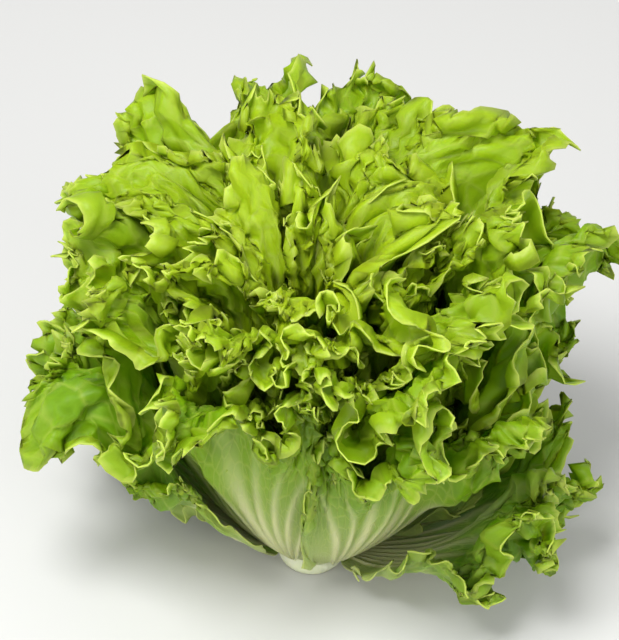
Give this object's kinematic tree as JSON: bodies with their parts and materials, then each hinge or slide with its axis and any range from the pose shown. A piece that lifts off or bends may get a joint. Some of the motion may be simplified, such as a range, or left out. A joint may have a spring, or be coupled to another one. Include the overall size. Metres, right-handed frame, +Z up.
{
  "type": "lollo bionda lettuce",
  "caption": "Whole head of frilly loose-leaf lettuce: a short stem with a spiral of ruffled leaves, cut flat at the foot.",
  "frame": {"origin": "middle of the stem's cut face, which is the flat it rests on", "axes": "+Z up along the stem to the heart, -Y towards the side that the picture shows"},
  "size_m": [0.2581, 0.2351, 0.2075],
  "materials": {
    "leaf": "waxy green leaf, paler at rib and rim",
    "stem": "pale cut stem"
  },
  "bodies": {
    "root": {"leaf_01": "leaf", "leaf_02": "leaf", "leaf_04": "leaf", "leaf_05": "leaf", "leaf_06": "leaf", "leaf_07": "leaf", "leaf_08": "leaf", "leaf_09": "leaf", "leaf_10": "leaf", "leaf_11": "leaf", "leaf_12": "leaf", "leaf_13": "leaf", "leaf_14": "leaf", "leaf_15": "leaf", "leaf_16": "leaf", "leaf_17": "leaf", "leaf_18": "leaf", "leaf_19": "leaf", "leaf_20": "leaf", "leaf_21": "leaf", "leaf_22": "leaf", "leaf_23": "leaf", "leaf_24": "leaf", "leaf_25": "leaf", "stem": "stem"}
  },
  "joints": []
}
